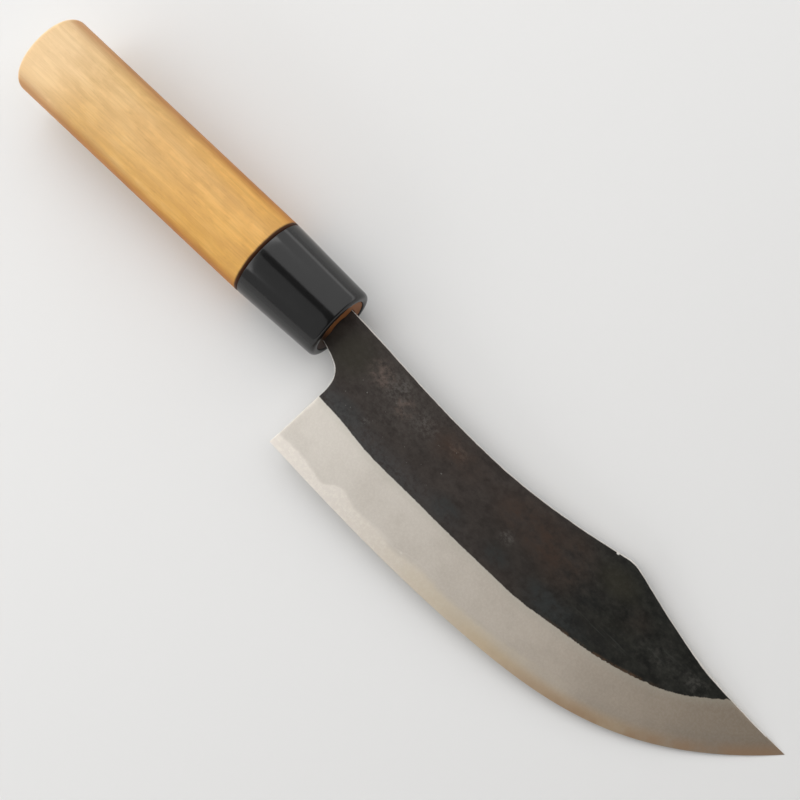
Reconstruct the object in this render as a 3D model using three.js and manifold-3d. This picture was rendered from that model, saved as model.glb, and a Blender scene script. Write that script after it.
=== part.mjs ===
// A sabaki knife: a three-layer forged blade with a humped back, burnt into an oval wooden handle
// with a black collar. It lies on its left side. Along X it runs from the butt to the tip, along Y
// from the cutting edge to the back, and Z points out of the right face. While it is built, X = 0
// is the collar's front face, and Y = 0 and Z = 0 are the handle's axis. Sizes are in millimetres.

import * as THREE from 'three';
import { mergeVertices } from 'three/addons/utils/BufferGeometryUtils.js';
import Module from 'manifold-3d';

const wasm = await Module();
wasm.setup();

// Blade outline, measured from the collar's front and from the handle's axis
const bladeReach = 154;
const tipDrop = 1.8;
const humpAt = 97.6;
const humpRise = 7.6;
const humpRound = 1.5;
const dipAt = 54;
const dipRise = 2.1;
const neckTop = 5.25;
const neckBottom = 6.05;
const choilAt = 9.15;
const choilDrop = 15.5;
const heelAt = 7.5;
const heelDrop = 35.05;
const heelSlope = 0.05;
const bellyAt = 84;
const bellyDrop = 35.1;
const bellySlope = 0.085;

// Blade thickness, its eased corners, the ground bevel and the hard core
const neckThickness = 3.2;
const tipThickness = 1.6;
const easedCorner = 0.35;
const bevelAtHeel = 18.2;
const bevelAtTip = 13;
const edgeThickness = 0.12;
const coreThickness = 0.7;

// Tang, stepped down from the neck inside the collar
const neckDepth = 3;
const tangReach = 78;
const tangStep = 0.6;
const tangEndHeight = 5;
const tangEndThickness = 1.8;

// Handle and collar, as lengths, heights across Y and thicknesses across Z
const handleLength = 117.2;
const collarLength = 27.4;
const buttHeight = 25.3;
const buttThickness = 20.2;
const jointHeight = 24.2;
const jointThickness = 19.4;
const noseHeight = 21.8;
const noseThickness = 17.4;
const tenonHeight = 16.8;
const tenonThickness = 13.8;
const tenonRecess = 0.3;
const buttRound = 2;
const gripRound = 0.8;
const noseRound = 1.2;
const jointEase = 0.25;
const mouthEase = 0.4;
const ovalPower = 2.1;
const pilotDiameter = 6.5;
const pilotDepth = 92;

// Fits: the burnt slot round the tang, and the collar round its tenon
const slotClearance = 0.3;
const tenonClearance = 0.12;

// Facets
const ovalSides = 64;
const pilotSides = 24;
const roundSteps = 6;
const curveStep = 3;
const fewestSteps = 10;
const cutMargin = 4;

// Solid geometry

function toManifold(geometry) {
  const bare = geometry.clone();
  bare.deleteAttribute('normal');
  bare.deleteAttribute('uv');
  const merged = mergeVertices(bare);
  const vertProperties = new Float32Array(merged.attributes.position.array);
  const triVerts = new Uint32Array(merged.index.array);
  return new wasm.Manifold(new wasm.Mesh({ numProp: 3, vertProperties, triVerts }));
}

function toGeometry(manifold) {
  const { vertProperties, triVerts } = manifold.getMesh();
  const geometry = new THREE.BufferGeometry();
  geometry.setAttribute('position', new THREE.BufferAttribute(vertProperties, 3));
  geometry.setIndex(new THREE.BufferAttribute(triVerts, 1));
  geometry.computeVertexNormals();
  return geometry;
}

function meshFrom(points, faces) {
  const geometry = new THREE.BufferGeometry();
  geometry.setAttribute('position', new THREE.Float32BufferAttribute(points.flat(), 3));
  geometry.setIndex(faces.flat());
  return geometry;
}

// A closed skin over a row of rings with equal point counts. The rings run anticlockwise seen from
// the last one, and the end faces are given as triangles over one ring.
function loft(rings, capTriangles) {
  const count = rings[0].length;
  const last = (rings.length - 1) * count;
  const faces = [];
  for (let r = 0; r + 1 < rings.length; r += 1) {
    for (let i = 0; i < count; i += 1) {
      const a = r * count + i;
      const b = r * count + ((i + 1) % count);
      faces.push([a, b, b + count], [a, b + count, a + count]);
    }
  }
  for (const [a, b, c] of capTriangles) {
    faces.push([a, c, b], [last + a, last + b, last + c]);
  }
  return meshFrom(rings.flat(), faces);
}

function fan(count) {
  return Array.from({ length: count - 2 }, (_, i) => [0, i + 1, i + 2]);
}

// Blade outline

function cubic(ax, ay, bx, by, cx, cy, dx, dy) {
  const corners = [new THREE.Vector2(ax, ay), new THREE.Vector2(bx, by)];
  corners.push(new THREE.Vector2(cx, cy), new THREE.Vector2(dx, dy));
  return new THREE.CubicBezierCurve(...corners);
}

// Each curve's two inner points are set as shares of its own run and fall. The back sinks from the
// neck to the dip, climbs to the hump and falls along the hollow clip.
const neckToDip = cubic(
  0, neckTop,
  0.35 * dipAt, neckTop + 0.3 * (dipRise - neckTop),
  0.58 * dipAt, dipRise,
  dipAt, dipRise,
);
const climb = humpAt - dipAt;
const dipToHump = cubic(
  dipAt, dipRise,
  dipAt + 0.36 * climb, dipRise,
  dipAt + 0.73 * climb, humpRise + 0.49 * (dipRise - humpRise),
  humpAt, humpRise,
);
const clipSpan = bladeReach - humpAt;
const clipFall = humpRise + tipDrop;
const clip = cubic(
  humpAt, humpRise,
  humpAt + 0.41 * clipSpan, humpRise - 0.77 * clipFall,
  humpAt + 0.6 * clipSpan, humpRise - 0.95 * clipFall,
  bladeReach, -tipDrop,
);

// The cutting edge is nearly straight from the heel, then sweeps up the belly to the tip.
const straightSpan = bellyAt - heelAt;
const straightEdge = cubic(
  heelAt, -heelDrop,
  heelAt + 0.31 * straightSpan, -heelDrop - 0.31 * straightSpan * heelSlope,
  bellyAt - 0.335 * straightSpan, -bellyDrop - 0.335 * straightSpan * bellySlope,
  bellyAt, -bellyDrop,
);
const bellySpan = bladeReach - bellyAt;
const bellyRise = bellyDrop - tipDrop;
const bellyEdge = cubic(
  bellyAt, -bellyDrop,
  bellyAt + 0.37 * bellySpan, -bellyDrop + 0.37 * bellySpan * bellySlope,
  bellyAt + 0.67 * bellySpan, -bellyDrop + 0.23 * bellyRise,
  bladeReach, -tipDrop,
);

// The choil curves down from the neck's underside to the heel's back.
const choilFall = choilDrop - neckBottom;
const choil = cubic(
  0, -neckBottom,
  0.71 * choilAt, -neckBottom - 0.217 * choilFall,
  choilAt, -neckBottom - 0.31 * choilFall,
  choilAt, -choilDrop,
);

function sample(curve) {
  const steps = Math.max(fewestSteps, Math.ceil(curve.getLength() / curveStep));
  return curve.getSpacedPoints(steps);
}

// The back from the neck to the tip, with the hump's corner rounded off
function roundedBack() {
  const before = dipToHump.getPointAt(1 - humpRound / dipToHump.getLength());
  const after = clip.getPointAt(humpRound / clip.getLength());
  const hump = new THREE.QuadraticBezierCurve(before, dipToHump.v3, after);
  const climbing = sample(dipToHump).filter((p) => p.x < before.x - humpRound / 2);
  const falling = sample(clip).filter((p) => p.x > after.x + humpRound / 2);
  return [...sample(neckToDip), ...climbing, ...hump.getPoints(roundSteps), ...falling];
}

// The outline runs anticlockwise: along the edge to the tip, back over the clip and the back to the
// neck, which goes a little way into the collar, and down the choil to the heel.
function bladeOutline() {
  const forward = [...sample(straightEdge), ...sample(bellyEdge)];
  const back = roundedBack().reverse();
  const neck = [new THREE.Vector2(-neckDepth, neckTop), new THREE.Vector2(-neckDepth, -neckBottom)];
  const loop = [...forward, ...back, ...neck, ...sample(choil)];
  return loop.filter((p, i) => p.distanceTo(loop[(i + 1) % loop.length]) > 1e-6);
}

function inset(outline, distance) {
  const count = outline.length;
  return outline.map((point, i) => {
    const before = point.clone().sub(outline[(i + count - 1) % count]).normalize();
    const after = outline[(i + 1) % count].clone().sub(point).normalize();
    const inward = new THREE.Vector2(-before.y - after.y, before.x + after.x).normalize();
    const share = inward.x * -after.y + inward.y * after.x;
    return point.clone().addScaledVector(inward, distance / share);
  });
}

// Blade solids

function halfThickness(x) {
  return (neckThickness + ((tipThickness - neckThickness) * x) / bladeReach) / 2;
}

// The forged blank, tapering in thickness towards the tip, with eased corners
function blank() {
  const outline = bladeOutline();
  const inner = inset(outline, easedCorner);
  const triangles = THREE.ShapeUtils.triangulateShape(inner, []);
  const ring = (points, side, drop) => points.map((p) => [p.x, p.y, side * (halfThickness(p.x) - drop)]);
  const rings = [
    ring(inner, -1, 0),
    ring(outline, -1, easedCorner),
    ring(outline, 1, easedCorner),
    ring(inner, 1, 0),
  ];
  return toManifold(loft(rings, triangles));
}

// What the wheel grinds off one face: everything above the straight lines that run square to the
// edge, from the edge up to the shoulder line on the flat.
function bevelWaste(side) {
  const edge = [...sample(straightEdge), ...sample(bellyEdge).slice(1)];
  const first = edge[0].clone().sub(edge[1]).setLength(cutMargin).add(edge[0]);
  const last = edge.at(-1).clone().sub(edge.at(-2)).setLength(cutMargin).add(edge.at(-1));
  const path = [first, ...edge, last];
  const rings = path.map((point, i) => {
    const ahead = path[Math.min(i + 1, path.length - 1)];
    const along = ahead.clone().sub(path[Math.max(i - 1, 0)]).normalize();
    const up = new THREE.Vector2(-along.y, along.x);
    const share = i / (path.length - 1);
    const width = THREE.MathUtils.lerp(bevelAtHeel, bevelAtTip, share);
    const shoulder = point.clone().addScaledVector(up, width);
    const rise = (halfThickness(shoulder.x) - edgeThickness / 2) / width;
    const at = (distance, z) => {
      const p = point.clone().addScaledVector(up, distance);
      return [p.x, p.y, side * z];
    };
    const low = edgeThickness / 2 - rise * cutMargin;
    const high = edgeThickness / 2 + rise * (width + cutMargin);
    const clear = neckThickness + cutMargin;
    const ring = [
      at(-cutMargin, low),
      at(width + cutMargin, high),
      at(width + cutMargin, clear),
      at(-cutMargin, clear),
    ];
    return side > 0 ? ring : ring.reverse();
  });
  return toManifold(loft(rings, fan(rings[0].length)));
}

// A bar of rectangular section, tapering from its front to its back end
function taperedBar(front, back) {
  const section = ({ x, top, bottom, half }) => [
    [x, top, half],
    [x, bottom, half],
    [x, bottom, -half],
    [x, top, -half],
  ];
  return toManifold(loft([section(back), section(front)], fan(4)));
}

function tang(clearance) {
  const front = {
    x: -neckDepth + easedCorner,
    top: neckTop - tangStep + clearance,
    bottom: -neckBottom + tangStep - clearance,
    half: neckThickness / 2 - tangStep / 2 + clearance,
  };
  const middle = (neckTop - neckBottom) / 2;
  const back = {
    x: -tangReach - clearance,
    top: middle + tangEndHeight / 2 + clearance,
    bottom: middle - tangEndHeight / 2 - clearance,
    half: tangEndThickness / 2 + clearance,
  };
  return taperedBar(front, back);
}

function slab(low, high) {
  const length = bladeReach + tangReach + 2 * cutMargin;
  const height = 2 * (heelDrop + bellyDrop + humpRise);
  const box = new THREE.BoxGeometry(length, height, high - low);
  box.translate((bladeReach - tangReach) / 2, 0, (low + high) / 2);
  return toManifold(box);
}

// Handle solids

function oval(x, height, thickness) {
  return Array.from({ length: ovalSides }, (_, i) => {
    const angle = (2 * Math.PI * i) / ovalSides;
    const bulge = (v) => Math.sign(v) * Math.abs(v) ** (2 / ovalPower);
    return [x, (bulge(Math.cos(angle)) * height) / 2, (bulge(Math.sin(angle)) * thickness) / 2];
  });
}

function ovalBar(stations) {
  const rings = stations.map(({ x, height, thickness }) => oval(x, height, thickness));
  return toManifold(loft(rings, fan(ovalSides)));
}

// Stations of a rounded rim, from the end face to the full section one radius behind it
function rim(x, direction, radius, height, thickness) {
  return Array.from({ length: roundSteps + 1 }, (_, i) => {
    const angle = (Math.PI / 2) * (i / roundSteps);
    const cut = 2 * radius * (1 - Math.sin(angle));
    return {
      x: x + direction * radius * (1 - Math.cos(angle)),
      height: height - cut,
      thickness: thickness - cut,
    };
  });
}

// A section of the collar's outside, which tapers from the joint to the nose
function collarSection(x) {
  const share = 1 + x / collarLength;
  return {
    x,
    height: THREE.MathUtils.lerp(jointHeight, noseHeight, share),
    thickness: THREE.MathUtils.lerp(jointThickness, noseThickness, share),
  };
}

function eased({ x, height, thickness }, ease) {
  return { x, height: height - 2 * ease, thickness: thickness - 2 * ease };
}

function handleSolid() {
  const grip = ovalBar([
    ...rim(-handleLength, 1, buttRound, buttHeight, buttThickness),
    ...rim(-collarLength, -1, gripRound, jointHeight, jointThickness).reverse(),
  ]);
  const tenon = ovalBar([
    { x: -collarLength - cutMargin, height: tenonHeight, thickness: tenonThickness },
    { x: -tenonRecess, height: tenonHeight, thickness: tenonThickness },
  ]);
  const pilotRadius = pilotDiameter / 2;
  const pilot = new THREE.CylinderGeometry(pilotRadius, pilotRadius, pilotDepth, pilotSides);
  pilot.rotateZ(Math.PI / 2);
  pilot.translate(-pilotDepth / 2, 0, 0);
  const mouth = {
    x: cutMargin,
    top: neckTop + slotClearance,
    bottom: -neckBottom - slotClearance,
    half: halfThickness(-neckDepth) + slotClearance,
  };
  const neckSlot = taperedBar(mouth, { ...mouth, x: -neckDepth - slotClearance });
  return grip.add(tenon).subtract(neckSlot).subtract(tang(slotClearance)).subtract(toManifold(pilot));
}

function collarSolid() {
  const back = collarSection(-collarLength);
  const nose = collarSection(0);
  const outside = ovalBar([
    eased(back, jointEase),
    collarSection(-collarLength + jointEase),
    ...rim(0, -1, noseRound, nose.height, nose.thickness).reverse(),
  ]);
  const boreHeight = tenonHeight + 2 * tenonClearance;
  const boreThickness = tenonThickness + 2 * tenonClearance;
  const bore = ovalBar([
    { x: -collarLength - cutMargin, height: boreHeight, thickness: boreThickness },
    { x: -mouthEase, height: boreHeight, thickness: boreThickness },
    { x: mouthEase, height: boreHeight + 4 * mouthEase, thickness: boreThickness + 4 * mouthEase },
  ]);
  return outside.subtract(bore);
}

// Finishes

const finishes = {
  core: new THREE.MeshStandardMaterial({ color: 0xd2cabb, roughness: 0.35, metalness: 1 }),
  rightScale: new THREE.MeshStandardMaterial({ color: 0x33312f, roughness: 0.55, metalness: 0.8 }),
  leftScale: new THREE.MeshStandardMaterial({ color: 0x33312f, roughness: 0.55, metalness: 0.8 }),
  wood: new THREE.MeshStandardMaterial({ color: 0xdca866, roughness: 0.45, metalness: 0 }),
  collar: new THREE.MeshStandardMaterial({ color: 0x121212, roughness: 0.2, metalness: 0 }),
};

// Assembly

const knife = new THREE.Group();
const lying = new THREE.Group();
knife.add(lying);

function place(name, solid, finish) {
  const mesh = new THREE.Mesh(toGeometry(solid), finish);
  mesh.name = name;
  lying.add(mesh);
}

// The forged and ground blade is parted along its two weld planes into the core and the claddings.
const forged = blank().subtract(bevelWaste(1)).subtract(bevelWaste(-1)).add(tang(0));
const weld = coreThickness / 2;
place('core_steel', forged.intersect(slab(-weld, weld)), finishes.core);
place('right_cladding', forged.intersect(slab(weld, neckThickness)), finishes.rightScale);
place('left_cladding', forged.intersect(slab(-neckThickness, -weld)), finishes.leftScale);
place('handle', handleSolid(), finishes.wood);
place('ferrule', collarSolid(), finishes.collar);

// The knife's own frame has its origin under the middle of its box.
const box = new THREE.Box3().setFromObject(lying);
const middle = box.getCenter(new THREE.Vector3());
lying.position.set(-middle.x, -middle.y, -box.min.z);

export default knife;
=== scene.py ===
import math

import bmesh
import bpy
import numpy as np
from mathutils import Matrix, Vector
from mathutils.geometry import delaunay_2d_cdt


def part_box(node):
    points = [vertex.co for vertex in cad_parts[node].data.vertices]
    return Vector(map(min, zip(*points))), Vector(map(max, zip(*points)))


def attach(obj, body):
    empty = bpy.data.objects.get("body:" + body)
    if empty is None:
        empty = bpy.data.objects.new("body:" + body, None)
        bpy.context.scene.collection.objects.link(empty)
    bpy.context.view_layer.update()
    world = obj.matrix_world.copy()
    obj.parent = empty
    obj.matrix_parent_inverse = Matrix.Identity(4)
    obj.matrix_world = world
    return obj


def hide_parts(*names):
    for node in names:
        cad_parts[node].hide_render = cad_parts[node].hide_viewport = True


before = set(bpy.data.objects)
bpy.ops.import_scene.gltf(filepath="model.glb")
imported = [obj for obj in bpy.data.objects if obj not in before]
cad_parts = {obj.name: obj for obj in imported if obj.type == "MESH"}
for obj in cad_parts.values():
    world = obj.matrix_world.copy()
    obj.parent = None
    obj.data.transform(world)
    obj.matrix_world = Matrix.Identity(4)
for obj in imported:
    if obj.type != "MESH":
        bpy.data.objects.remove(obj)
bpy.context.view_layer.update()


# Core steel
# The hard middle layer of the blade, carbon steel forge-welded between two soft iron skins. It
# shows only along the cutting edge, where grinding has cut through the skins, and it runs back
# as the middle of the tang.

MM = 0.001
collar_low, collar_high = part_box("ferrule")
core_low, core_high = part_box("core_steel")
collar_front = collar_high.x
handle_axis_y = (collar_low.y + collar_high.y) / 2
middle_plane_z = (collar_low.z + collar_high.z) / 2


def in_frame(points):
    """Millimetres from the collar's front, handle's axis and blade's middle plane, in the frame."""
    return np.asarray(points, float) * MM + (collar_front, handle_axis_y, middle_plane_z)


# Outline sizes, from the collar's front along the blade and from the handle's axis across it
blade_reach = (core_high.x - collar_front) / MM
tang_reach = (collar_front - core_low.x) / MM
tip_drop = 1.8
hump_at = 97.6
hump_rise = 7.6
hump_round = 1.5
dip_at = 54.0
dip_rise = 2.1
neck_top = 5.25
neck_bottom = 6.05
neck_depth = 3.0
choil_at = 9.15
choil_drop = 15.5
heel_at = 7.5
heel_drop = 35.05
heel_slope = 0.05
belly_at = 84.0
belly_drop = 35.1
belly_slope = 0.085
tang_step = 0.6
tang_end_height = 5.0
tang_end_thickness = 1.8
outline_step = 0.6


def curve(start, leave, arrive, end):
    """Points along a cubic curve from start to end, drawn by its two control points."""
    p = [np.array(q, float) for q in (start, leave, arrive, end)]
    length = sum(np.linalg.norm(b - a) for a, b in zip(p, p[1:]))
    t = np.linspace(0, 1, int(length / outline_step) + 2)[:, None]
    s = 1 - t
    return s**3 * p[0] + 3 * s * s * t * p[1] + 3 * s * t * t * p[2] + t**3 * p[3]


neck_to_dip = curve(
    (0, neck_top),
    (0.35 * dip_at, neck_top + 0.3 * (dip_rise - neck_top)),
    (0.58 * dip_at, dip_rise),
    (dip_at, dip_rise),
)
climb = hump_at - dip_at
dip_to_hump = curve(
    (dip_at, dip_rise),
    (dip_at + 0.36 * climb, dip_rise),
    (dip_at + 0.73 * climb, hump_rise + 0.49 * (dip_rise - hump_rise)),
    (hump_at, hump_rise),
)
clip_run = blade_reach - hump_at
clip_fall = hump_rise + tip_drop
clip = curve(
    (hump_at, hump_rise),
    (hump_at + 0.41 * clip_run, hump_rise - 0.77 * clip_fall),
    (hump_at + 0.6 * clip_run, hump_rise - 0.95 * clip_fall),
    (blade_reach, -tip_drop),
)
straight_run = belly_at - heel_at
straight_edge = curve(
    (heel_at, -heel_drop),
    (heel_at + 0.31 * straight_run, -heel_drop - 0.31 * straight_run * heel_slope),
    (belly_at - 0.335 * straight_run, -belly_drop - 0.335 * straight_run * belly_slope),
    (belly_at, -belly_drop),
)
belly_run = blade_reach - belly_at
belly_edge = curve(
    (belly_at, -belly_drop),
    (belly_at + 0.37 * belly_run, -belly_drop + 0.37 * belly_run * belly_slope),
    (belly_at + 0.67 * belly_run, -belly_drop + 0.23 * (belly_drop - tip_drop)),
    (blade_reach, -tip_drop),
)
choil_fall = choil_drop - neck_bottom
choil_curve = curve(
    (0, -neck_bottom),
    (0.71 * choil_at, -neck_bottom - 0.217 * choil_fall),
    (choil_at, -neck_bottom - 0.31 * choil_fall),
    (choil_at, -choil_drop),
)


def straight(start, end):
    """Points along a straight line, its ends included."""
    count = int(math.dist(start, end) / outline_step) + 2
    return np.linspace(start, end, count)


def rounded_hump():
    """The back from the neck to the tip, with the hump's corner rounded off."""
    corner = dip_to_hump[-1]
    rising = dip_to_hump[np.linalg.norm(dip_to_hump - corner, axis=1) >= hump_round]
    falling = clip[np.linalg.norm(clip - corner, axis=1) >= hump_round]
    t = np.linspace(0, 1, 9)[1:-1, None]
    arc = (1 - t) ** 2 * rising[-1] + 2 * t * (1 - t) * corner + t**2 * falling[0]
    return np.vstack([neck_to_dip[:-1], rising, arc, falling])


cutting_edge = np.vstack([straight_edge[:-1], belly_edge])
cutting_edge[:, 1] = np.maximum(cutting_edge[:, 1], (core_low.y - handle_axis_y) / MM)
back_line = np.vstack([[(-neck_depth, neck_top)], rounded_hump()])[::-1]
heel_back = straight((choil_at, -choil_drop), (heel_at, -heel_drop))
front_of_neck = np.vstack([[(-neck_depth, -neck_bottom)], choil_curve[:-1], heel_back])
tang_middle = (neck_top - neck_bottom) / 2
tang_line = [
    (-neck_depth, neck_top - tang_step),
    (-tang_reach, tang_middle + tang_end_height / 2),
    (-tang_reach, tang_middle - tang_end_height / 2),
    (-neck_depth, -neck_bottom + tang_step),
]
outline = np.vstack([cutting_edge[:-1], back_line, tang_line, front_of_neck[:-1]])


def nearest_on(path, points):
    """How far each point is from a path, and at which share of the path's length it is nearest."""
    start, step = path[:-1], np.diff(path, axis=0)
    along = ((points[:, None] - start) * step).sum(2) / (step**2).sum(1)
    along = np.clip(along, 0, 1)
    gap = np.linalg.norm(points[:, None] - start - along[..., None] * step, axis=2)
    pick = gap.argmin(1)
    row = np.arange(len(points))
    run = np.concatenate([[0], np.cumsum(np.linalg.norm(step, axis=1))])
    share = (run[pick] + along[row, pick] * np.diff(run)[pick]) / run[-1]
    return gap[row, pick], share


# The weld line on the bevel, as heights above the edge at distances from the heel: it wanders where
# the hammer moved the layers.
right_weld = (
    (0, 3.2), (5, 3.7), (10.5, 3.6), (15.5, 2.9), (18, 2.7), (19.8, 4.0), (22.5, 5.5), (25, 5.3),
    (28, 4.4), (33, 4.4), (38, 4.9), (44, 4.3), (47, 5.2), (51, 5.9), (61, 5.2), (75, 5.5),
    (95, 6.0), (115, 5.5), (135, 5.0), (157, 4.2),
)
left_weld = (
    (0, 3.4), (11, 4.6), (17, 3.6), (29, 4.9), (37, 4.0), (51, 5.2), (66, 4.3), (84, 5.5),
    (112, 4.7), (131, 5.3), (157, 4.2),
)
edge_length = np.linalg.norm(np.diff(cutting_edge, axis=0), axis=1).sum()


def height_along(listed, share):
    """Height above the edge, on a smooth line through the listed places."""
    at = share * edge_length
    places, heights = np.array(listed, float).T
    slopes = np.gradient(heights, places)
    pick = np.clip(np.searchsorted(places, at) - 1, 0, len(places) - 2)
    run = places[pick + 1] - places[pick]
    t = np.clip((at - places[pick]) / run, 0, 1)
    ease = t * t * (3 - 2 * t)
    bend = t * (1 - t) * run * ((1 - t) * slopes[pick] - t * slopes[pick + 1])
    return heights[pick] + ease * (heights[pick + 1] - heights[pick]) + bend


def weld_height(waves, share):
    """Height of a weld line above the edge, with its small ripple."""
    at = share * edge_length
    return height_along(waves, share) + 0.1 * np.sin(1.9 * at) + 0.06 * np.sin(4.3 * at + 1)


def above_edge(heights):
    """A line on the bevel at the given heights, square to the cutting edge."""
    along = np.gradient(cutting_edge, axis=0)
    along /= np.linalg.norm(along, axis=1)[:, None]
    up = np.stack([-along[:, 1], along[:, 0]], axis=1)
    return cutting_edge + up * heights[:, None]


# Thicknesses: the blade thins towards the tip, and the bevel runs from the edge to its shoulder.
neck_thickness = 3.2
tip_thickness = 1.6
edge_thickness = 0.12
core_thickness = 0.7
corner_round = 0.35
choil_round = 0.2
shoulder_line = (
    (0, 17.8), (10, 17.6), (21, 16.75), (32, 16.85), (42, 16.85), (52, 16.6), (63, 16.3), (78, 15.7),
    (89, 15.95), (99, 15.4), (109, 14.8), (117, 14.2), (123, 13.6), (128, 13.25), (142, 13.2), (157, 13.0),
)
weld_blend = 8.0
thinnest_skin = 0.004
crease_angle = math.radians(40)
plan_step = 1.1
plan_row = 0.87 * plan_step
edge_share = nearest_on(cutting_edge, cutting_edge)[1]


def in_outline(points):
    """Whether each point is inside the blade's outline."""
    a, b = outline, np.roll(outline, -1, axis=0)
    above = (a[:, 1] > points[:, None, 1]) != (b[:, 1] > points[:, None, 1])
    rise = np.where(b[:, 1] == a[:, 1], 1, b[:, 1] - a[:, 1])
    cross = a[:, 0] + (points[:, None, 1] - a[:, 1]) * (b[:, 0] - a[:, 0]) / rise
    return ((above & (points[:, None, 0] < cross)).sum(1) % 2).astype(bool)


def plan_of_blade():
    """One triangulated plan of blade and tang that all three layers share."""
    shoulder = above_edge(height_along(shoulder_line, edge_share))
    lines = [above_edge(weld_height(waves, edge_share)) for waves in (right_weld, left_weld)]
    lines.append(shoulder)
    for path, radius in ((back_line, corner_round), (front_of_neck, choil_round)):
        along = np.gradient(path, axis=0)
        along /= np.linalg.norm(along, axis=1)[:, None]
        inward = np.stack([-along[:, 1], along[:, 0]], axis=1)
        for share in (0.12, 0.4, 0.7, 1.0):
            lines.append(path + inward * radius * share)
    lines = [line[in_outline(line)] for line in lines]
    rows = np.arange(-belly_drop - 2, hump_rise, plan_row)
    grid = [
        (x + (k % 2) * plan_step / 2, y)
        for k, y in enumerate(rows)
        for x in np.arange(-tang_reach, blade_reach, plan_step)
    ]
    grid = np.array(grid)
    grid = grid[in_outline(grid)]
    for path in [np.vstack([outline, outline[:1]]), *lines]:
        grid = grid[nearest_on(path, grid)[0] > 0.5 * plan_step]
    points = [*outline]
    links = [(i, (i + 1) % len(outline)) for i in range(len(outline))]
    for line in lines:
        first = len(points)
        points.extend(line)
        links.extend((first + i, first + i + 1) for i in range(len(line) - 1))
    points.extend(grid)
    flat, _, faces, *_ = delaunay_2d_cdt([Vector(p) for p in points], links, [], 1, 1e-4)
    plan = np.array([tuple(p) for p in flat])
    triangles = np.array(faces)
    a, b, c = (plan[triangles[:, i]] for i in range(3))
    area = (b[:, 0] - a[:, 0]) * (c[:, 1] - a[:, 1]) - (b[:, 1] - a[:, 1]) * (c[:, 0] - a[:, 0])
    kept = in_outline((a + b + c) / 3) & (abs(area) > 1e-7)
    triangles = triangles[kept]
    area = area[kept]
    triangles[area < 0] = triangles[area < 0][:, ::-1]
    return plan, triangles


plan, plan_triangles = plan_of_blade()
from_edge, along_edge = nearest_on(cutting_edge, plan)
from_back = nearest_on(back_line, plan)[0]
from_choil = nearest_on(front_of_neck, plan)[0]
from_corner = np.minimum(from_back, from_choil)
bevel_width = height_along(shoulder_line, along_edge)


def half_thickness(x):
    """Half the forged thickness, which steps down to the thinner tang behind the neck."""
    blade = (neck_thickness + (tip_thickness - neck_thickness) * x / blade_reach) / 2
    front = (neck_thickness - tang_step) / 2
    tang = front + (tang_end_thickness / 2 - front) * (-neck_depth - x) / (tang_reach - neck_depth)
    return np.where(x < -neck_depth + 0.01, tang, blade)


forged = half_thickness(plan[:, 0])
ground = edge_thickness / 2 + (forged - edge_thickness / 2) * from_edge / bevel_width
uncut = np.minimum(forged, ground)
corner = np.minimum(np.where(from_back < from_choil, corner_round, choil_round), 0.6 * uncut)
into = np.clip(corner - from_corner, 0, corner)
face_height = uncut - corner + np.sqrt(corner**2 - into**2)
face_height = np.where(plan[:, 0] < -neck_depth, uncut, face_height)


def smooth(low, high, value):
    """0 below low, 1 above high and eased between them."""
    t = np.clip((value - low) / (high - low), 0, 1)
    return t * t * (3 - 2 * t)


def covered_by_skin(waves):
    """The plan's triangles above one weld line, which a skin covers."""
    middle = plan[plan_triangles].mean(1)
    height, share = nearest_on(cutting_edge, middle)
    return plan_triangles[(height > weld_height(waves, share)) | (middle[:, 0] < heel_at)]


def weld_surface(waves, covered):
    """Height of the face between core and skin: flat inside, meeting the bevel at the weld line."""
    line = weld_height(waves, along_edge)
    at_line = edge_thickness / 2 + (forged - edge_thickness / 2) * line / bevel_width
    inside = core_thickness / 2
    level = at_line + (inside - at_line) * smooth(0, weld_blend, from_edge - line)
    level = np.where(plan[:, 0] < 0, inside, level)
    height = face_height.copy()
    inner = np.unique(covered)
    height[inner] = np.minimum(level, face_height - thinnest_skin)[inner]
    return height


right_covered = covered_by_skin(right_weld)
left_covered = covered_by_skin(left_weld)
right_core = weld_surface(right_weld, right_covered)
left_core = weld_surface(left_weld, left_covered)


def rim(triangles):
    """The plan's edges that only one of the given triangles has, in that triangle's sense."""
    edges = {(int(t[i]), int(t[(i + 1) % 3])) for t in triangles for i in range(3)}
    return [(a, b) for a, b in sorted(edges) if (b, a) not in edges]


def layer(name, used, top, bottom, marks, top_crease=(), bottom_crease=()):
    """A closed solid between two heights over the plan's triangles, with named values at its points."""
    numbers = np.unique(used)
    upper = np.full(len(plan), -1)
    upper[numbers] = np.arange(len(numbers))
    lower = upper + len(numbers)
    heights = np.concatenate([top[numbers], bottom[numbers]])
    source = np.concatenate([numbers, numbers])
    points = in_frame(np.column_stack([plan[source], heights]))
    faces = [tuple(upper[t]) for t in used] + [tuple(lower[t[::-1]]) for t in used]
    faces += [(upper[a], lower[a], lower[b], upper[b]) for a, b in rim(used)]
    mesh = bpy.data.meshes.new(name)
    mesh.from_pydata([tuple(p) for p in points], [], [tuple(int(i) for i in f) for f in faces])
    for mark, values in marks.items():
        upper_values, lower_values = values if isinstance(values, tuple) else (values, values)
        kept = np.concatenate([upper_values[numbers], lower_values[numbers]]).astype(np.float32)
        mesh.attributes.new(mark, "FLOAT", "POINT").data.foreach_set("value", kept)
    mesh.polygons.foreach_set("use_smooth", [True] * len(mesh.polygons))
    mesh.set_sharp_from_angle(angle=crease_angle)
    creases = {frozenset((upper[a], upper[b])) for a, b in top_crease}
    creases |= {frozenset((lower[a], lower[b])) for a, b in bottom_crease}
    for edge in mesh.edges:
        edge.use_edge_sharp |= frozenset(edge.vertices) in creases
    piece = bpy.data.objects.new(name, mesh)
    bpy.context.scene.collection.objects.link(piece)
    return piece


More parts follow.
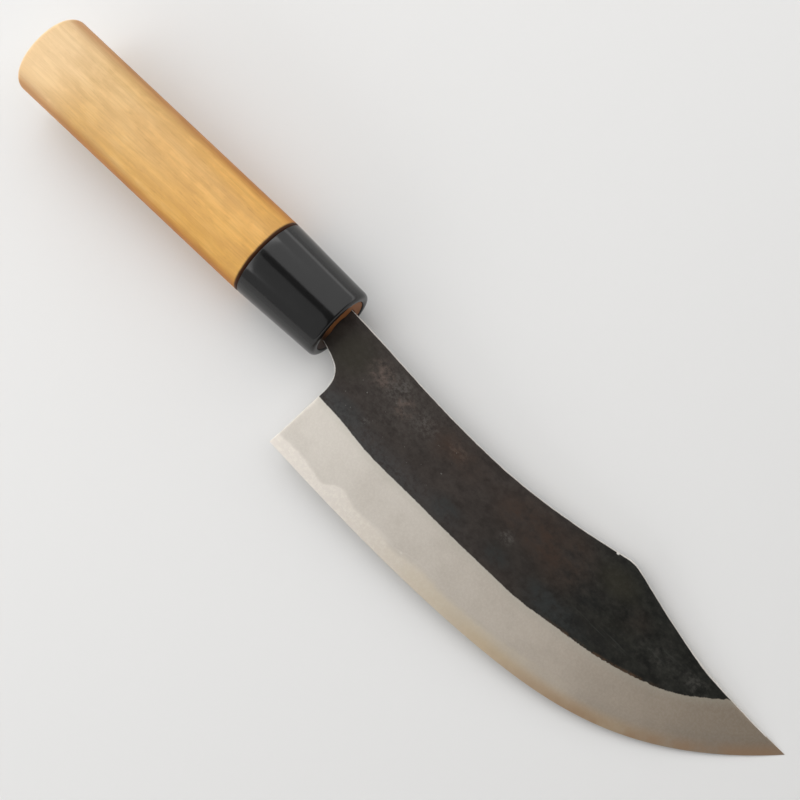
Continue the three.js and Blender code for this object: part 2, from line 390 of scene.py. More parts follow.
over_right_weld = from_edge - weld_height(right_weld, along_edge)
over_left_weld = from_edge - weld_height(left_weld, along_edge)
core_marks = {
    "along_edge": along_edge,
    "from_edge": from_edge,
    "over_weld": (over_right_weld, over_left_weld),
}
core = layer(
    "core", plan_triangles, right_core, -left_core, core_marks, rim(right_covered), rim(left_covered)
)


class Finish:
    """A procedural material: short calls that add a node and give back its output."""

    def __init__(self, name):
        self.material = bpy.data.materials.new(name)
        self.material.use_nodes = True
        self.tree = self.material.node_tree
        self.tree.nodes.clear()
        self.shader = self.tree.nodes.new("ShaderNodeBsdfPrincipled")
        result = self.tree.nodes.new("ShaderNodeOutputMaterial")
        self.tree.links.new(self.shader.outputs[0], result.inputs[0])

    def set(self, node, socket, value):
        if isinstance(value, bpy.types.NodeSocket):
            self.tree.links.new(value, node.inputs[socket])
        elif isinstance(value, tuple) and len(value) == 3 and node.inputs[socket].type == "RGBA":
            node.inputs[socket].default_value = (*value, 1)
        else:
            node.inputs[socket].default_value = value

    def add(self, kind, sockets, output=0, **settings):
        node = self.tree.nodes.new("ShaderNode" + kind)
        for key, value in settings.items():
            setattr(node, key, value)
        for socket, value in sockets.items():
            self.set(node, socket, value)
        return node.outputs[output]

    def mark(self, name):
        return self.add("Attribute", {}, "Fac", attribute_name=name)

    def place(self, size):
        """The object's own coordinates, counted in steps of the given size in millimetres."""
        coordinates = self.add("TexCoord", {}, "Object")
        scale = tuple(1 / (MM * s) for s in size)
        return self.add("Mapping", {"Vector": coordinates, "Scale": scale})

    def noise(self, size, detail=3.0, roughness=0.55, shift=0.0):
        step = (shift, 2 * shift, 3 * shift)
        moved = self.add("VectorMath", {0: self.place(size), 1: step}, operation="ADD")
        sockets = {"Vector": moved, "Scale": 1.0, "Detail": detail, "Roughness": roughness}
        return self.add("TexNoise", sockets)

    def rise(self, value, low, high, start=0.0, end=1.0):
        sockets = {"Value": value, "From Min": low, "From Max": high, "To Min": start, "To Max": end}
        return self.add("MapRange", sockets, interpolation_type="SMOOTHSTEP")

    def sum(self, *terms):
        total = terms[0]
        for term in terms[1:]:
            total = self.add("Math", {0: total, 1: term}, operation="ADD")
        return total

    def times(self, *terms):
        total = terms[0]
        for term in terms[1:]:
            total = self.add("Math", {0: total, 1: term}, operation="MULTIPLY")
        return total

    def blend(self, share, low, high):
        """One colour over another, by a share from 0 to 1."""
        sockets = {"Factor": share, 6: low, 7: high}
        return self.add("Mix", sockets, 2, data_type="RGBA")

    def darken_by(self, share, tone, colour):
        """A tone multiplied by another colour, by a share from 0 to 1."""
        sockets = {"Factor": share, 6: tone, 7: colour}
        return self.add("Mix", sockets, 2, data_type="RGBA", blend_type="MULTIPLY")

    def across(self, axis):
        """The object's own coordinate along one axis, in the millimetres that in_frame takes."""
        coordinates = self.add("TexCoord", {}, "Object")
        value = self.add("SeparateXYZ", {"Vector": coordinates}, axis)
        origin = {"X": collar_front, "Y": handle_axis_y, "Z": middle_plane_z}[axis]
        return self.times(self.sum(value, -origin), 1 / MM)

    def patch(self, x, y, wide, high):
        """A soft oval spot on the right face, 1 in its middle and 0 at its rim."""
        coordinates = self.add("TexCoord", {}, "Object")
        middle = tuple(in_frame((x, y, 1.5)))
        size = (wide * MM, high * MM, 2.5 * MM)
        sockets = {"Vector": coordinates, "Location": middle, "Scale": size}
        inside = self.add("Mapping", sockets, vector_type="TEXTURE")
        return self.add("TexGradient", {"Vector": inside}, "Fac", gradient_type="SPHERICAL")

    def relief(self, height, depth, before=None):
        """Bump of the given depth in millimetres."""
        sockets = {"Height": height, "Distance": depth * MM, "Strength": 1.0}
        if before is not None:
            sockets["Normal"] = before
        return self.add("Bump", sockets)


hard_heel = (0.825, 0.765, 0.697)
hard_middle = (0.77, 0.675, 0.535)


def ground_tone(f):
    """Colour of a ground and stoned bevel: pale grey at the heel, hazier and browner with patina towards
    the tip, and darker there with painted shade.
    """
    haze = f.noise((10, 10, 10), 4, 0.6, 4.4)
    sand = f.noise((0.6, 0.6, 0.6), 3, 0.6, 8.8)
    patina_and_shade = f.sum(f.mark("along_edge"), f.times(f.sum(haze, -0.5), 0.16))
    # Browner towards the tip is patina; darker towards the tip, down to the dark tone at the tip, is
    # painted shade.
    tone = f.blend(f.rise(patina_and_shade, 0.0, 0.9), (0.71, 0.662, 0.598), (0.63, 0.54, 0.44))
    tone = f.blend(f.times(f.rise(patina_and_shade, 0.5, 1.0), 0.9), tone, (0.36, 0.29, 0.22))
    tone = f.blend(f.times(f.rise(haze, 0.4, 0.65), 0.16), tone, (0.46, 0.415, 0.36))
    bright = f.times(f.rise(sand, 0.35, 0.7), f.rise(patina_and_shade, 0.4, 1.0, 0.13, 0.06))
    return f.blend(bright, tone, (0.95, 0.91, 0.84))


def honed_steel():
    """Honed steel: cream and bright at the heel, with a brown bloom along the edge towards the tip, and
    darkened there by painted shade.
    """
    f = Finish("honed_steel")
    along = f.mark("along_edge")
    up = f.mark("from_edge")
    cloud = f.noise((7, 7, 7), 3, 0.55)
    grain = f.noise((0.9, 0.9, 0.9), 3, 0.65, 2.7)
    spread = f.sum(along, f.times(f.sum(cloud, -0.5), 0.2))
    tone = f.blend(f.rise(spread, 0.08, 0.5), hard_heel, hard_middle)
    straw = f.times(f.rise(along, 0.26, 0.42), f.rise(along, 0.95, 0.6), f.rise(up, 6.0, 1.0), 0.35)
    tone = f.blend(straw, tone, (0.74, 0.61, 0.42))
    sparkle = f.times(f.rise(grain, 0.4, 0.7), f.rise(along, 0.4, 0.15, 0.12, 0.45))
    tone = f.blend(sparkle, tone, (0.96, 0.91, 0.81))
    weld_softness = f.rise(along, 0.19, 0.34, -0.45, -2.4)
    near_weld = f.rise(f.mark("over_weld"), weld_softness, 0.0)
    near_weld = f.times(near_weld, f.rise(along, 0.19, 0.34, 0.4, 0.9))
    # Towards the tip the core takes the bevel's tone, with its painted shade.
    faded = f.rise(spread, 0.32, 0.7)
    tone = f.blend(f.add("Math", {0: near_weld, 1: faded}, operation="MAXIMUM"), tone, ground_tone(f))
    gold = f.times(f.rise(along, 0.38, 0.52), f.rise(along, 0.88, 0.7), f.rise(up, 4.5, 1.2), 0.5)
    tone = f.blend(gold, tone, (0.72, 0.535, 0.31))
    bloom = f.times(f.rise(along, 0.45, 0.7), f.rise(along, 1.06, 0.97), f.rise(up, 4.0, 0.2))
    bloom = f.times(bloom, f.rise(f.sum(cloud, f.times(along, 0.2)), 0.38, 0.78), 0.8)
    tone = f.blend(bloom, tone, (0.50, 0.325, 0.20))
    lines = f.noise((14, 0.12, 0.12), 2, 0.6)
    f.set(f.shader, "Base Color", tone)
    f.set(f.shader, "Metallic", 1.0)
    f.set(f.shader, "Roughness", f.sum(0.42, f.times(lines, 0.12)))
    f.set(f.shader, "Normal", f.relief(lines, 0.0015))
    return f.material


core.data.materials.append(honed_steel())
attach(core, "root")
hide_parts("core_steel")


# Iron skins
# Soft iron forge-welded to both sides of the core. The flats keep the black scale of the fire, and
# the bevels below are ground and stoned to a hazy satin that ends in a ragged line at the scale.

flat_waviness = 0.03
waviness_size = 11.0


def forge_waves(x, y, turn):
    """Slow unevenness of a hammered flat, from -1 to 1."""
    u, v = x / waviness_size, y / waviness_size
    first = np.sin(2.1 * u + 1.3 * np.sin(1.7 * v + turn))
    second = np.sin(3.4 * v + 0.8 * u + 1.1 * np.sin(1.2 * u + 2 * turn))
    return (first + second) / 2


border = from_edge - bevel_width
on_flat = smooth(0.5, 4.0, border) * smooth(0.5, 2.0, from_corner) * (plan[:, 0] > 2)
skin_marks = {
    "along_edge": along_edge,
    "from_edge": from_edge,
    "border": border,
    "from_corner": from_corner,
}
right_face = face_height + flat_waviness * on_flat * forge_waves(*plan.T, 0.4)
left_face = face_height + flat_waviness * on_flat * forge_waves(*plan.T, 2.6)
right_marks = {**skin_marks, "over_weld": over_right_weld}
left_marks = {**skin_marks, "over_weld": over_left_weld}
right_skin = layer("right_skin", right_covered, right_face, right_core, right_marks)
left_skin = layer("left_skin", left_covered, -left_core, -left_face, left_marks)


def scaled_iron():
    """Black forge scale with rust, grey and blue tints, and satin iron below its ragged border."""
    f = Finish("scaled_iron")
    along = f.mark("along_edge")
    x = f.across("X")

    fine = f.noise((0.8, 0.8, 0.8), 3, 0.7)
    ragged = f.noise((3.0, 3.0, 3.0), 5, 0.7, 3.1)
    jag = f.times(f.sum(f.times(fine, 0.7), ragged, -0.85), f.rise(x, 70, 112, 0.42, 0.95))
    scale = f.rise(f.sum(f.mark("border"), jag), -0.14, 0.14)

    cloud = f.noise((15, 10, 15), 4, 0.6, 1.7)
    mottle = f.noise((3.2, 2.4, 3.2), 5, 0.7, 5.3)
    grit = f.noise((1.3, 1.1, 1.3), 4, 0.7, 7.4)
    tone = f.blend(f.rise(mottle, 0.25, 0.75), (0.0205, 0.0152, 0.0126), (0.044, 0.035, 0.030))
    ashy = f.times(f.patch(26, -3, 24, 13), f.rise(grit, 0.3, 0.7))
    tone = f.blend(f.times(ashy, 0.7), tone, (0.066, 0.057, 0.050))
    sooty = f.blend(f.rise(mottle, 0.32, 0.68), (0.0018, 0.0026, 0.0015), (0.0135, 0.0145, 0.011))
    tone = f.blend(f.times(f.rise(f.sum(x, f.times(cloud, 20)), 80, 114), 0.9), tone, sooty)
    blue = f.sum(f.patch(17, -15, 9, 4), f.patch(54, -15.5, 8, 4.5), f.patch(71, -15.5, 7, 4))
    blue = f.sum(blue, f.patch(90, -15.5, 15, 5), f.times(f.rise(cloud, 0.5, 0.7), 0.2))
    blue = f.times(f.rise(blue, 0.05, 0.8), f.rise(mottle, 0.3, 0.6), 0.7)
    tone = f.blend(blue, tone, (0.023, 0.027, 0.0272))
    olive = f.sum(f.patch(8, -3, 11, 10), f.patch(98, 1, 10, 6), f.times(f.patch(106, -9, 12, 7), 0.5))
    tone = f.blend(f.times(f.rise(olive, 0.1, 0.8), 0.65), tone, (0.024, 0.0215, 0.0125))
    rust = f.sum(f.times(f.patch(46, -3, 16, 8), 0.85), f.patch(70, -4, 13, 9), f.patch(84, -4, 13, 11))
    rust = f.sum(rust, f.times(f.patch(107, -3, 10, 7), 0.5))
    rust = f.times(f.rise(rust, 0.1, 0.9), f.rise(f.sum(cloud, f.times(mottle, 0.6)), 0.58, 0.95))
    tone = f.blend(f.times(rust, 0.9), tone, (0.042, 0.0235, 0.0150))
    black = f.sum(f.patch(96, -14, 5, 3), f.patch(104.5, -12.5, 8, 4))
    black = f.sum(black, f.patch(95, -7, 6, 4), f.patch(108, -9, 6, 3.5))
    black = f.times(f.rise(black, 0.1, 0.7), f.rise(mottle, 0.7, 0.4), 0.7)
    tone = f.blend(black, tone, (0.0055, 0.006, 0.0055))
    dim = f.sum(f.patch(72, -12, 20, 8), f.patch(100, -12, 12, 6))
    tone = f.blend(f.times(f.rise(dim, 0.1, 0.9), 0.4), tone, (0.014, 0.0125, 0.010))
    hazed = f.times(f.rise(f.mark("border"), 7.5, 1.0), f.rise(x, 76, 30), f.rise(grit, 0.25, 0.65))
    tone = f.blend(f.times(hazed, 0.75), tone, (0.0525, 0.0515, 0.0515))
    spots = f.sum(f.patch(18, -1.5, 7, 5.5), f.patch(28, -4, 5, 4.5))
    spots = f.sum(spots, f.times(f.patch(46, -3, 9, 5), 0.5))
    spots = f.times(f.rise(spots, 0.1, 0.7), f.rise(f.noise((2.2, 1.7, 2.2), 5, 0.75, 9.3), 0.4, 0.75))
    tone = f.blend(f.times(spots, 0.8), tone, (0.135, 0.098, 0.080))
    pale = f.sum(f.patch(23.5, -1, 6, 5), f.times(f.patch(35.5, -3.3, 7, 4.5), 0.7))
    pale = f.sum(pale, f.patch(70, -10, 3.5, 3), f.times(f.patch(27, -10, 22, 9), 0.3))
    pale = f.sum(pale, f.times(f.patch(121, -5, 15, 9), 0.42))
    pale = f.sum(pale, f.times(f.patch(128.5, -4.3, 5, 3.5), 0.55))
    pale = f.sum(pale, f.times(f.patch(113, -7, 8, 5), 0.22), f.patch(22.8, -13.8, 1.6, 1.4))
    flecks = f.times(f.rise(pale, 0.1, 0.9), f.rise(f.sum(grit, f.times(mottle, 0.6)), 0.68, 1.05))
    tone = f.blend(f.times(flecks, 0.42), tone, (0.15, 0.14, 0.128))
    speck = f.rise(f.noise((0.9, 0.9, 0.9), 1, 0.5, 6.6), 0.75, 0.81)
    speck = f.times(speck, f.rise(f.patch(28, -8, 30, 13), 0.0, 0.5))
    tone = f.blend(f.times(speck, 0.6), tone, (0.19, 0.18, 0.168))
    scratch = f.rise(f.noise((9, 0.55, 3), 3, 0.6, 2.2), 0.54, 0.72)
    rubbed = f.sum(f.patch(103, -10, 13, 6), f.times(f.patch(121, -5, 13, 8), 0.7))
    tone = f.blend(f.times(scratch, f.rise(rubbed, 0.05, 0.6), 0.32), tone, (0.052, 0.055, 0.048))
    tone = f.blend(f.times(f.rise(grit, 0.45, 0.8), 0.25), tone, (0.050, 0.043, 0.037))
    fringe = f.times(f.rise(f.mark("border"), 1.0, 0.1), f.rise(x, 88, 98), f.rise(x, 124, 114))
    tone = f.blend(f.times(fringe, f.rise(ragged, 0.4, 0.6)), tone, (0.075, 0.043, 0.024))

    satin = ground_tone(f)
    satin = f.blend(f.rise(f.mark("border"), -2.5, -0.3, 0.0, 0.25), satin, (0.53, 0.525, 0.45))
    glow = f.times(f.rise(f.mark("over_weld"), 0.6, 0.0), f.rise(along, 0.5, 0.2), 0.4)
    satin = f.blend(glow, satin, hard_heel)
    stoned = f.noise((0.25, 9, 0.25), 2, 0.6)
    wide = f.sum(f.times(f.patch(97, 7, 5, 3), 0.18), f.times(f.patch(127, -1, 11, 4), 0.45))
    nick = f.rise(f.patch(92.8, 6.2, 0.7, 0.5), 0.2, 0.6)
    inward = f.sum(f.mark("from_corner"), f.times(f.sum(ragged, -0.5), 0.3), f.times(wide, -1.0))
    worn = f.add("Math", {0: f.rise(inward, 0.28, 0.1), 1: nick}, operation="MAXIMUM")

    bare = f.sum(1.0, f.times(scale, f.sum(worn, -1.0)))
    tone = f.blend(scale, satin, tone)
    tone = f.blend(worn, tone, (0.66, 0.63, 0.59))
    f.set(f.shader, "Base Color", tone)
    f.set(f.shader, "Metallic", bare)
    f.set(f.shader, "Specular IOR Level", 0.2)
    scale_rough = f.sum(0.36, f.times(mottle, 0.3))
    satin_rough = f.sum(0.45, f.times(stoned, 0.12))
    rough = f.sum(f.times(scale_rough, f.sum(1.0, f.times(bare, -1.0))), f.times(satin_rough, bare))
    f.set(f.shader, "Roughness", rough)
    pits = f.relief(f.times(scale, f.sum(f.times(grit, 0.5), mottle)), 0.035)
    f.set(f.shader, "Normal", f.relief(f.times(stoned, bare), 0.0012, pits))
    return f.material


skin_finish = scaled_iron()
for skin, node in ((right_skin, "right_cladding"), (left_skin, "left_cladding")):
    skin.data.materials.append(skin_finish)
    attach(skin, "root")
    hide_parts(node)


# Handle
# One piece of pale straight-grained wood, shaped oval and lacquered. Its front is cut down to a
# tenon for the collar, and the tang is burnt into the slot that opens in the tenon's end.

grip_low, grip_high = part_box("handle")
handle_length = (collar_front - grip_low.x) / MM
collar_length = (collar_front - collar_low.x) / MM
butt_height = (grip_high.y - grip_low.y) / MM
butt_thickness = (grip_high.z - grip_low.z) / MM
joint_height = 24.2
joint_thickness = 19.4
tenon_height = 16.8
tenon_thickness = 13.8
tenon_recess = 0.3
butt_round = 2.0
grip_round = 0.8
pilot_radius = 3.25
pilot_depth = 92.0
slot_clearance = 0.3
oval_power = 2.1
oval_sides = 160
turn = np.linspace(0, 2 * math.pi, oval_sides, endpoint=False)


def oval(x, height, thickness):
    """One ring of an oval bar, a little squarer than an ellipse."""
    y = np.sign(np.cos(turn)) * abs(np.cos(turn)) ** (2 / oval_power) * height / 2
    z = np.sign(np.sin(turn)) * abs(np.sin(turn)) ** (2 / oval_power) * thickness / 2
    return np.column_stack([np.full(oval_sides, x), y, z])


def slot_ring(x, top, bottom, half):
    """One ring of the drilled and slotted bore, cut by the same rays as an oval."""
    reach = np.where(np.cos(turn) > 0, top, -bottom)
    stretch = 1 / np.maximum(abs(np.cos(turn)) / reach, abs(np.sin(turn)) / half)
    stretch = np.maximum(stretch, pilot_radius)
    return np.column_stack([np.full(oval_sides, x), stretch * np.cos(turn), stretch * np.sin(turn)])


def rounded_end(x, direction, radius, height, thickness, steps=8):
    """Rings of a rounded rim, from the end face back to the full section."""
    rings = []
    for angle in np.linspace(0, math.pi / 2, steps + 1):
        cut = 2 * radius * (1 - math.sin(angle))
        rings.append(oval(x + direction * radius * (1 - math.cos(angle)), height - cut, thickness - cut))
    return rings


def skinned(name, rings, joined_ends):
    """A closed solid over a row of rings, whose ends are joined to each other or capped."""
    count = len(rings)
    faces = []
    for r in range(count if joined_ends else count - 1):
        here, ahead = r * oval_sides, (r + 1) % count * oval_sides
        for i in range(oval_sides):
            j = (i + 1) % oval_sides
            faces.append((here + i, here + j, ahead + j, ahead + i))
    if not joined_ends:
        faces.append(tuple(range(oval_sides))[::-1])
        faces.append(tuple(range((count - 1) * oval_sides, count * oval_sides)))
    mesh = bpy.data.meshes.new(name)
    mesh.from_pydata([tuple(p) for p in in_frame(np.vstack(rings))], [], faces)
    shell = bmesh.new()
    shell.from_mesh(mesh)
    bmesh.ops.remove_doubles(shell, verts=shell.verts, dist=0.001 * MM)
    shell.to_mesh(mesh)
    shell.free()
    mesh.polygons.foreach_set("use_smooth", [True] * len(mesh.polygons))
    mesh.set_sharp_from_angle(angle=crease_angle)
    piece = bpy.data.objects.new(name, mesh)
    bpy.context.scene.collection.objects.link(piece)
    return piece


def grip_rings():
    """From the butt along the grip, down to the tenon and back into the burnt slot."""
    rings = rounded_end(-handle_length, 1, butt_round, butt_height, butt_thickness)
    plain_length = handle_length - butt_round - collar_length - grip_round
    for share in np.linspace(0, 1, 24)[1:-1]:
        x = -handle_length + butt_round + share * plain_length
        height = butt_height + share * (joint_height - butt_height)
        rings.append(oval(x, height, butt_thickness + share * (joint_thickness - butt_thickness)))
    rings += rounded_end(-collar_length, -1, grip_round, joint_height, joint_thickness)[::-1]
    rings.append(oval(-collar_length, tenon_height, tenon_thickness))
    rings.append(oval(-tenon_recess, tenon_height, tenon_thickness))
    neck = (
        neck_top + slot_clearance,
        -neck_bottom - slot_clearance,
        neck_thickness / 2 + slot_clearance,
    )
    back = -neck_depth - slot_clearance
    rings += [slot_ring(-tenon_recess, *neck), slot_ring(back, *neck)]
    inset = tang_step - slot_clearance
    rings.append(slot_ring(back, neck_top - inset, -neck_bottom + inset, neck[2] - tang_step / 2))
    end = tang_end_height / 2 + slot_clearance
    half = tang_end_thickness / 2 + slot_clearance
    rings.append(slot_ring(-tang_reach - slot_clearance, tang_middle + end, tang_middle - end, half))
    rings.append(slot_ring(-tang_reach - slot_clearance, pilot_radius, -pilot_radius, pilot_radius / 2))
    rings.append(slot_ring(-pilot_depth, pilot_radius, -pilot_radius, pilot_radius / 2))
    return rings


grip = skinned("grip", grip_rings(), False)


def lacquered_wood():
    """Pale straight-grained wood under clear lacquer, scorched at the tenon's end, with a painted
    highlight towards the butt and painted shade on the flanks, at the joint and low on the tenon's end.
    """
    f = Finish("lacquered_wood")
    x, y = f.across("X"), f.across("Y")
    butt, joint = -handle_length, -collar_length
    coordinates = f.add("TexCoord", {}, "Object")
    pith = tuple(in_frame((0, 34, -26)))
    around = f.add("Mapping", {"Vector": coordinates, "Location": pith}, vector_type="TEXTURE")
    sockets = {"Vector": around, "Scale": 155.0, "Distortion": 1.6, "Detail": 2.0, "Detail Scale": 0.4}
    rings = f.add("TexWave", sockets, "Fac", wave_type="RINGS", rings_direction="X")
    drift = f.noise((45, 8, 8), 3, 0.55, 0.6)
    figure = f.noise((9, 4.2, 4.2), 4, 0.6, 5.2)
    streak = f.noise((28, 3.2, 3.2), 4, 0.6, 1.4)
    fibre = f.noise((9, 0.4, 0.4), 3, 0.65, 2.3)
    pore = f.times(f.rise(f.noise((2.6, 0.34, 0.34), 2, 0.5, 3.7), 0.6, 0.74), f.rise(figure, 0.42, 0.6))
    smudge = f.rise(f.noise((6, 1.3, 1.3), 3, 0.6, 7.7), 0.6, 0.74)
    ripe = f.rise(f.sum(x, f.times(f.sum(drift, -0.5), 50)), -112, -34)
    tone = f.blend(ripe, (0.80, 0.563, 0.282), (0.83, 0.473, 0.125))
    tone = f.blend(f.rise(y, 1.0, -7.0, 0.0, 0.55), tone, (0.72, 0.42, 0.098))
    # Paler towards the butt: painted highlight of the lamp behind the butt, laid under the grain here.
    painted_butt_highlight = (0.95, 0.725, 0.47)
    tone = f.blend(f.rise(x, -88, -114, 0.0, 0.5), tone, painted_butt_highlight)
    light = f.blend(ripe, (0.82, 0.60, 0.315), (0.81, 0.503, 0.172))
    shade = f.blend(ripe, (0.63, 0.405, 0.175), (0.62, 0.335, 0.085))
    deep = f.blend(ripe, (0.46, 0.285, 0.115), (0.44, 0.22, 0.052))
    tone = f.blend(f.times(f.rise(figure, 0.5, 0.32), 0.35), tone, light)
    tone = f.blend(f.times(f.rise(rings, 0.3, 0.95), 0.2), tone, shade)
    tone = f.blend(f.times(f.rise(streak, 0.42, 0.66), 0.5), tone, shade)
    tone = f.blend(f.times(f.rise(figure, 0.42, 0.64), 0.5), tone, shade)
    line = f.rise(f.noise((40, 1.0, 1.0), 3, 0.6, 6.1), 0.58, 0.74)
    tone = f.blend(f.times(line, 0.22), tone, deep)
    tone = f.blend(f.times(f.rise(fibre, 0.4, 0.7), 0.25), tone, deep)
    tone = f.blend(f.times(smudge, 0.18), tone, deep)
    tone = f.blend(f.times(pore, 0.38), tone, deep)
    # The painted highlight towards the butt again, over the grain.
    tone = f.blend(f.rise(x, -92, -113, 0.0, 0.42), tone, painted_butt_highlight)
    # A pale line along the butt's rounded rim: painted highlight.
    tone = f.blend(f.rise(x, butt + 1.6, butt + 0.3, 0.0, 0.65), tone, (0.92, 0.77, 0.57))
    end_face = f.rise(x, butt + 0.25, butt + 0.05)
    tone = f.blend(f.times(end_face, 0.8), tone, (0.66, 0.45, 0.22))
    tone = f.blend(f.times(end_face, f.rise(rings, 0.45, 0.95), 0.2), tone, deep)
    open_pores = f.rise(f.noise((0.5, 0.4, 0.4), 1, 0.5, 8.3), 0.58, 0.72)
    tone = f.blend(f.times(end_face, open_pores, 0.35), tone, deep)
    side = f.add("Math", {0: y}, operation="ABSOLUTE")
    # Deeper amber towards the flanks: painted shade where the light falls off round the oval.
    painted_flank_shade = f.times(f.rise(side, 8.8, 12.2, 0.0, 0.8), f.rise(x, butt + 0.4, butt + 2.2))
    tone = f.darken_by(painted_flank_shade, tone, (0.56, 0.30, 0.10))
    # A near-black band on the wood just behind the collar: painted shade of the joint's groove.
    edge = f.sum(x, f.times(f.sum(streak, -0.5), 0.4))
    painted_joint_shade = f.rise(edge, joint - 1.4, joint - 0.7)
    tone = f.blend(f.times(painted_joint_shade, f.rise(x, joint + 1, joint)), tone, (0.05, 0.016, 0.005))
    char = f.rise(f.sum(x, f.times(f.sum(fibre, -0.5), 0.8)), -3.0, -0.5)
    # The tenon end's brown is real scorch; its darkening towards the edge's side is painted shade.
    scorch_and_shade = f.blend(f.rise(y, -1, -6), (0.30, 0.118, 0.042), (0.04, 0.018, 0.009))
    tone = f.blend(char, tone, scorch_and_shade)
    f.set(f.shader, "Base Color", tone)
    f.set(f.shader, "Roughness", f.sum(0.4, f.times(fibre, 0.12)))
    f.set(f.shader, "Specular IOR Level", 0.15)
    f.set(f.shader, "Normal", f.relief(f.sum(f.times(fibre, 0.7), f.times(pore, -0.6)), 0.006))
    # No lacquer on the scorched tenon end or on the painted joint shade.
    uncoated = f.add("Math", {0: char, 1: painted_joint_shade}, operation="MAXIMUM")
    lacquer = f.sum(0.5, f.times(uncoated, -0.5))
    f.set(f.shader, "Coat Weight", f.times(f.rise(side, 11.0, 8.5, 0.05, 1.0), lacquer))
    f.set(f.shader, "Coat Roughness", 0.36)
    f.set(f.shader, "Coat IOR", 1.6)
    f.set(f.shader, "Coat Tint", (1.0, 0.9, 0.7))
    return f.material


grip.data.materials.append(lacquered_wood())
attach(grip, "root")
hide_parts("handle")


# Collar
# A moulded ring of gloss black plastic, tapering forward, pressed on the tenon until it sits
# flush against the wood. It keeps the handle from splitting round the tang.

joint_ease = 0.25
nose_height = 21.8
nose_thickness = 17.4
nose_round = 1.2
mouth_ease = 0.4
tenon_clearance = 0.12


def collar_rings():
    """From the joint forward over the nose, then back through the bore."""
    rings = []
    for ease in (1, 0.7, 0.3):
        drop = 2 * joint_ease * (1 - math.sqrt(1 - ease**2))
        x = -collar_length + joint_ease * (1 - ease)
        rings.append(oval(x, joint_height - drop, joint_thickness - drop))
    for share in np.linspace(joint_ease / collar_length, 1 - nose_round / collar_length, 12):
        height = joint_height + share * (nose_height - joint_height)
        thickness = joint_thickness + share * (nose_thickness - joint_thickness)
        rings.append(oval(-collar_length * (1 - share), height, thickness))
    rings += rounded_end(0, -1, nose_round, nose_height, nose_thickness)[-2::-1]
    bore_height = tenon_height + 2 * tenon_clearance
    bore_thickness = tenon_thickness + 2 * tenon_clearance
    for ease in (0, 0.3, 0.7, 1):
        open_by = 2 * mouth_ease * (1 - math.sin(ease * math.pi / 2))
        x = -mouth_ease * (1 - math.cos(ease * math.pi / 2))
        rings.append(oval(x, bore_height + open_by, bore_thickness + open_by))
    rings.append(oval(-collar_length, bore_height, bore_thickness))
    return rings


collar = skinned("collar", collar_rings(), True)


def black_plastic():
    """Gloss black moulded plastic with faint handling marks."""
    f = Finish("black_plastic")
    smear = f.noise((12, 5, 5), 3, 0.55, 1.1)
    hairline = f.rise(f.noise((9, 0.12, 0.12), 2, 0.6, 2.9), 0.6, 0.8)
    dust = f.rise(f.noise((0.5, 0.5, 0.5), 1, 0.5, 4.2), 0.74, 0.8)
    tone = f.blend(smear, (0.0045, 0.0045, 0.0045), (0.008, 0.0078, 0.0075))
    f.set(f.shader, "Base Color", f.blend(f.times(dust, 0.25), tone, (0.05, 0.048, 0.045)))
    f.set(f.shader, "Roughness", f.sum(0.09, f.times(smear, 0.06), f.times(hairline, 0.05)))
    f.set(f.shader, "Specular IOR Level", 0.55)
    f.set(f.shader, "Normal", f.relief(f.sum(f.times(smear, 6.0), f.times(hairline, -0.15)), 0.003))
    return f.material


collar.data.materials.append(black_plastic())
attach(collar, "root")
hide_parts("ferrule")


# Floor
# A plain pale sweep that the knife rests on with its collar's nose and its tip, so it is pitched a
# little to the knife's own frame. Its far rim curves up into a wall.

floor_flat = 1.4
floor_curve = 0.6
wall_height = 0.1
floor_tone = (0.80, 0.795, 0.785)
even_from = 0.165
even_beyond = 0.36
rest_pitch = math.atan2(nose_thickness / 2, blade_reach)
tip_point = Vector(in_frame((blade_reach, 0, 0)))


def sweep_profile():
    """Distance from the middle and height, from the flat up the curve to the wall's top."""
    profile = [(0.02, 0), (0.4, 0), (floor_flat, 0)]
    for angle in np.linspace(0, math.pi / 2, 13)[1:]:
        profile.append((floor_flat + floor_curve * math.sin(angle), floor_curve * (1 - math.cos(angle))))
    profile.append((floor_flat + floor_curve, floor_curve + wall_height))
    return profile


def sweep():
    """The floor and its wall, one smooth surface turned round the middle."""
    sides = 96
    points, faces = [], []
    for radius, height in sweep_profile():
        for k in range(sides):
            angle = 2 * math.pi * k / sides
            points.append((radius * math.cos(angle), radius * math.sin(angle), height))
    for r in range(len(points) // sides - 1):
        for k in range(sides):
            m = (k + 1) % sides
            faces.append((r * sides + k, (r + 1) * sides + k, (r + 1) * sides + m, r * sides + m))
    faces.append(tuple(range(sides)))
    mesh = bpy.data.meshes.new("floor")
    mesh.from_pydata(points, [], faces)
    mesh.polygons.foreach_set("use_smooth", [True] * len(mesh.polygons))
    return mesh


floor = bpy.data.objects.new("floor", sweep())
pitched = Matrix.Rotation(-rest_pitch, 4, "Y")
back_from_tip = Matrix.Translation((-blade_reach * MM, 0, 0))
floor.matrix_world = Matrix.Translation(tip_point) @ pitched @ back_from_tip
bpy.context.scene.collection.objects.link(floor)


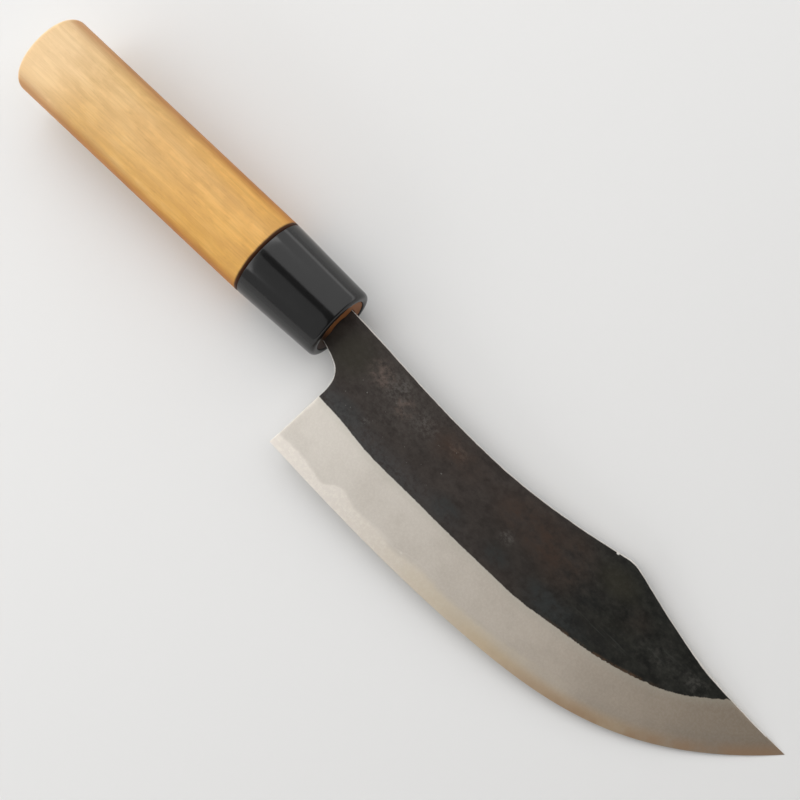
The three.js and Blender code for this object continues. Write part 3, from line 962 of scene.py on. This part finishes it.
def pale_paper():
    """Matt pale paper, seen in its own even tone away from the knife, wherever the lamps end."""
    f = Finish("pale_paper")
    middle = f.add("VectorMath", {0: f.add("TexCoord", {}, "Object")}, "Value", operation="LENGTH")
    seen = f.add("LightPath", {}, "Is Camera Ray")
    for mirrored in ("Is Glossy Ray", "Is Transmission Ray"):
        seen = f.add("Math", {0: seen, 1: f.add("LightPath", {}, mirrored)}, operation="MAXIMUM")
    far = f.times(f.rise(middle, even_from, even_beyond), seen)
    f.set(f.shader, "Base Color", f.blend(far, floor_tone, (0.0, 0.0, 0.0)))
    f.set(f.shader, "Roughness", 0.9)
    f.set(f.shader, "Specular IOR Level", 0.1)
    f.set(f.shader, "Emission Color", floor_tone)
    f.set(f.shader, "Emission Strength", far)
    return f.material


floor.data.materials.append(pale_paper())


# Light
# Soft boxes on both sides of the knife and behind its butt, a low one on the edge's side that no
# gloss mirrors, and a dim room above.

room_level = 0.08
room = bpy.data.worlds.new("room")
room.use_nodes = True
room.node_tree.nodes["Background"].inputs["Color"].default_value = (1, 1, 1, 1)
room.node_tree.nodes["Background"].inputs["Strength"].default_value = room_level
bpy.context.scene.world = room


def soft_box(name, position, width, height, power):
    """A rectangular soft box aimed at the knife."""
    lamp = bpy.data.lights.new(name, "AREA")
    lamp.shape = "RECTANGLE"
    lamp.size, lamp.size_y = width, height
    lamp.energy = power
    box = bpy.data.objects.new(name, lamp)
    aim = Vector((0, 0, middle_plane_z)) - Vector(position)
    box.matrix_world = Matrix.Translation(position) @ aim.to_track_quat("-Z", "Y").to_matrix().to_4x4()
    bpy.context.scene.collection.objects.link(box)
    return box


soft_box("back_side_box", (0.0, 0.496, 0.532), 1.0, 1.06, 3.4)
soft_box("edge_side_box", (-0.1, -0.442, 0.566), 1.2, 0.87, 1.35)
soft_box("butt_side_box", (-0.62, 0.0, 0.52), 1.5, 0.8, 6.5)
low_fill = soft_box("low_fill_box", (-0.1, -0.9, 0.3), 1.2, 0.35, 2.8)
low_fill.visible_glossy = False


# Camera
# Nearly straight above the knife, a little towards the tip, and turned so that the knife runs
# across the picture from its upper left to its lower right.

camera_at = (84.54, -3.37, 308.42)
camera_tilt = math.radians(10.865)
camera_roll = math.radians(43.387)
camera = bpy.data.objects.new("camera", bpy.data.cameras.new("camera"))
camera.data.lens = 54
camera.data.sensor_width = 36
level = Vector((math.cos(camera_tilt), 0, -math.sin(camera_tilt)))
across_knife = Vector((0, 1, 0))
right = math.cos(camera_roll) * level + math.sin(camera_roll) * across_knife
up = -math.sin(camera_roll) * level + math.cos(camera_roll) * across_knife
turned = Matrix((right, up, right.cross(up))).transposed().to_4x4()
camera.matrix_world = Matrix.Translation(in_frame(camera_at)) @ turned
bpy.context.scene.collection.objects.link(camera)
bpy.context.scene.camera = camera
bpy.context.scene.view_settings.view_transform = "Standard"
